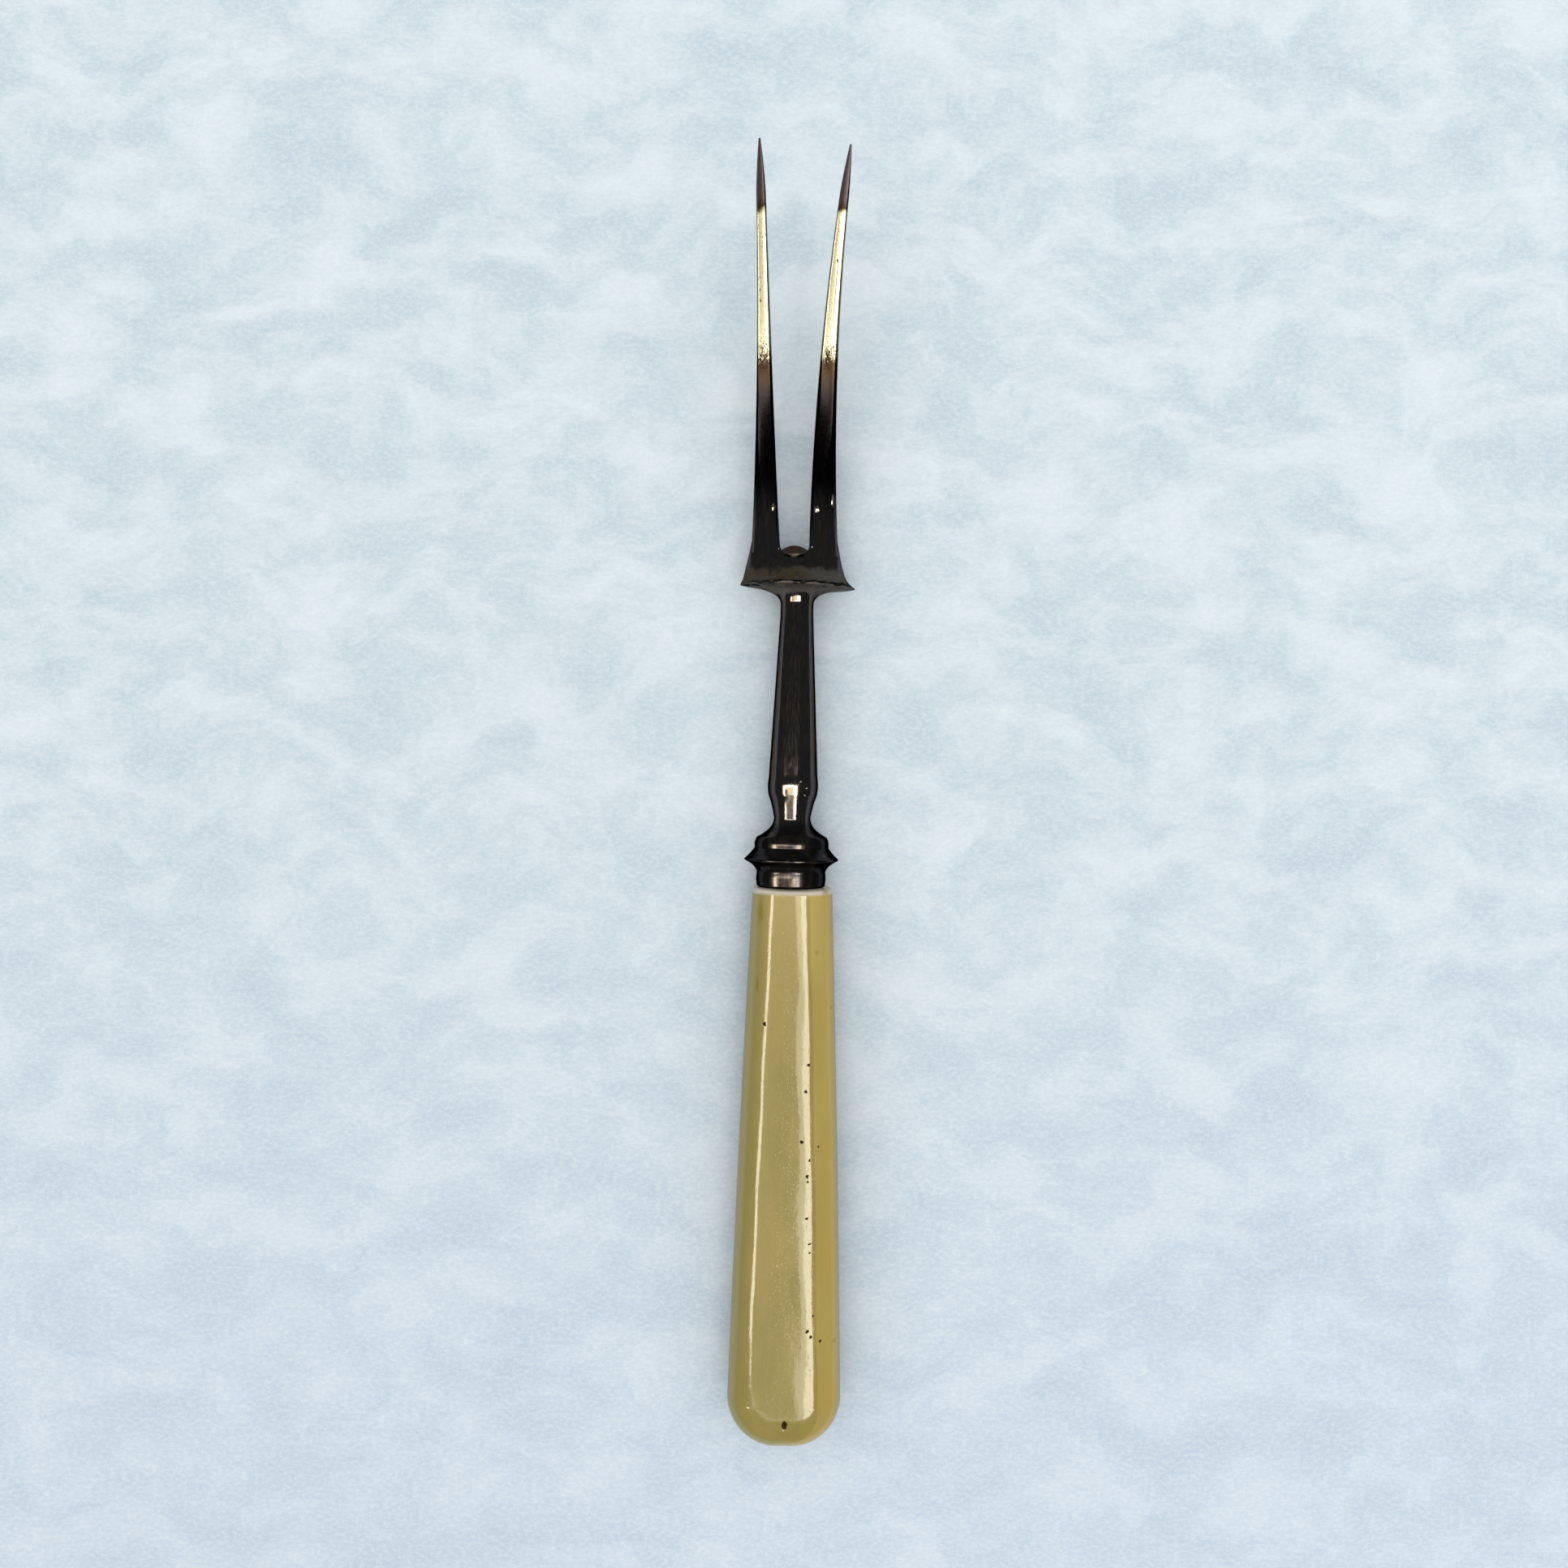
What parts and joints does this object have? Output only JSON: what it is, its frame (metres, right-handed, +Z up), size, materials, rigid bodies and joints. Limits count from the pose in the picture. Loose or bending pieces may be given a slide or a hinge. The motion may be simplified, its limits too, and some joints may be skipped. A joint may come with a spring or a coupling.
{
  "type": "carving fork",
  "caption": "Carving fork with long curved tines, a flared guard-like shoulder, a turned shank, an oval moulded collar and a tapered bone-coloured slab handle.",
  "frame": {"origin": "on the table, under the middle of the fork as it lies on its back", "axes": "+Y along the handle towards the tips, +Z up, towards the side that the tines curve to, +X across the handle"},
  "size_m": [0.024, 0.261, 0.0303],
  "materials": {
    "tarnished_steel": "old bright steel gone near black with tarnish, fine lengthwise scratches, rust in the crotch",
    "bone": "polished yellowed bone-like slab with a faint grain, pits and a few stains",
    "resin": "brown cutler's resin, hidden in the handle"
  },
  "bodies": {
    "root": {"fork": "tarnished_steel", "handle": "bone", "tang_cement": "resin"}
  },
  "joints": []
}
